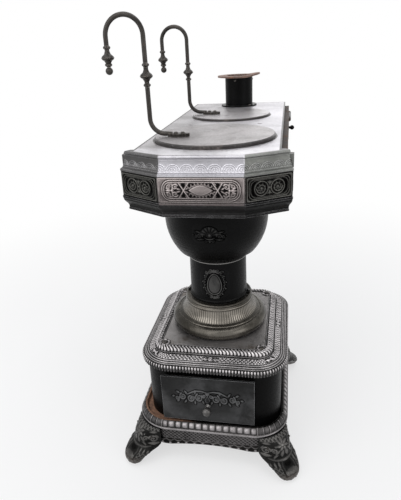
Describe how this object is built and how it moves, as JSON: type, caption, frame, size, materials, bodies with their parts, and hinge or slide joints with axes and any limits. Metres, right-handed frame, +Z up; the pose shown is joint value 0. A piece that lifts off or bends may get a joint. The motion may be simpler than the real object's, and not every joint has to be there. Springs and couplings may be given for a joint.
{
  "type": "cast-iron column stove",
  "caption": "Old cast-iron column stove: a footed ash box with a drawer, a short column and round fire pot, and a long hob box with lidded cooking holes and a flue outlet.",
  "frame": {"origin": "on the floor, under the middle of the whole stove's bounding box", "axes": "+Z up; the ash drawer faces -Y; +Y runs from the cooking end to the flue; +X is to the right seen from the drawer"},
  "size_m": [0.4552, 0.9102, 1.0492],
  "materials": {
    "plate_iron": "worn grey cast iron with brown stains",
    "dark_iron": "blackened cast iron with worn bright edges",
    "black_iron": "matt black heat-dulled cast iron",
    "bronze_iron": "brown-grey rubbed cast iron",
    "rusty_iron": "rusty cast iron",
    "rusty_sheet": "rusty sheet steel",
    "black_sheet": "black sheet steel",
    "turned_iron": "forged and turned iron with a brown patina"
  },
  "bodies": {
    "stove": {"hob_plate": "plate_iron", "plate_screws": "turned_iron", "cross_bar": "dark_iron", "front_lid": "plate_iron", "rear_lid": "plate_iron", "front_lid_handle": "turned_iron", "rear_lid_handle": "turned_iron", "handle_rivets": "turned_iron", "front_fascia": "dark_iron", "left_side_wall": "rusty_iron", "right_side_wall": "rusty_iron", "rear_end_plate": "dark_iron", "box_floor": "black_iron", "fascia_bolts": "turned_iron", "rear_plate_bolts": "turned_iron", "soot_door_pin": "turned_iron", "flue_collar": "black_iron", "flue_collar_screws": "turned_iron", "flue_stub": "black_sheet", "flue_flange": "rusty_sheet", "flue_rivets": "turned_iron", "fire_pot": "black_iron", "pot_bolts": "turned_iron", "fire_grate": "rusty_iron", "column": "black_iron", "column_screws": "turned_iron", "column_ring": "bronze_iron", "base_plate": "dark_iron", "ash_box_wall": "black_sheet", "ash_box_floor": "rusty_sheet", "left_runner": "dark_iron", "right_runner": "dark_iron", "skirt": "dark_iron", "front_left_leg": "dark_iron", "front_right_leg": "dark_iron", "rear_left_leg": "dark_iron", "rear_right_leg": "dark_iron", "leg_bolts": "turned_iron", "tie_rods": "turned_iron", "tie_rod_nuts": "turned_iron"},
    "ash_drawer": {"ash_tray": "rusty_sheet", "drawer_front": "dark_iron", "drawer_rivets": "turned_iron", "drawer_knob": "turned_iron", "drawer_escutcheon": "turned_iron"},
    "soot_flap": {"soot_door": "black_iron"}
  },
  "joints": [
    {"name": "ash_drawer_slide", "type": "slide", "parent": "stove", "child": "ash_drawer", "axis": [0, -1, 0], "range_m": [-0.0125, 0.28]},
    {"name": "soot_door_hinge", "type": "hinge", "parent": "stove", "child": "soot_flap", "pos_m": [0.18316, 0.27913, 0.756], "axis": [0, -1, 0], "range_deg": [0, 100]}
  ]
}
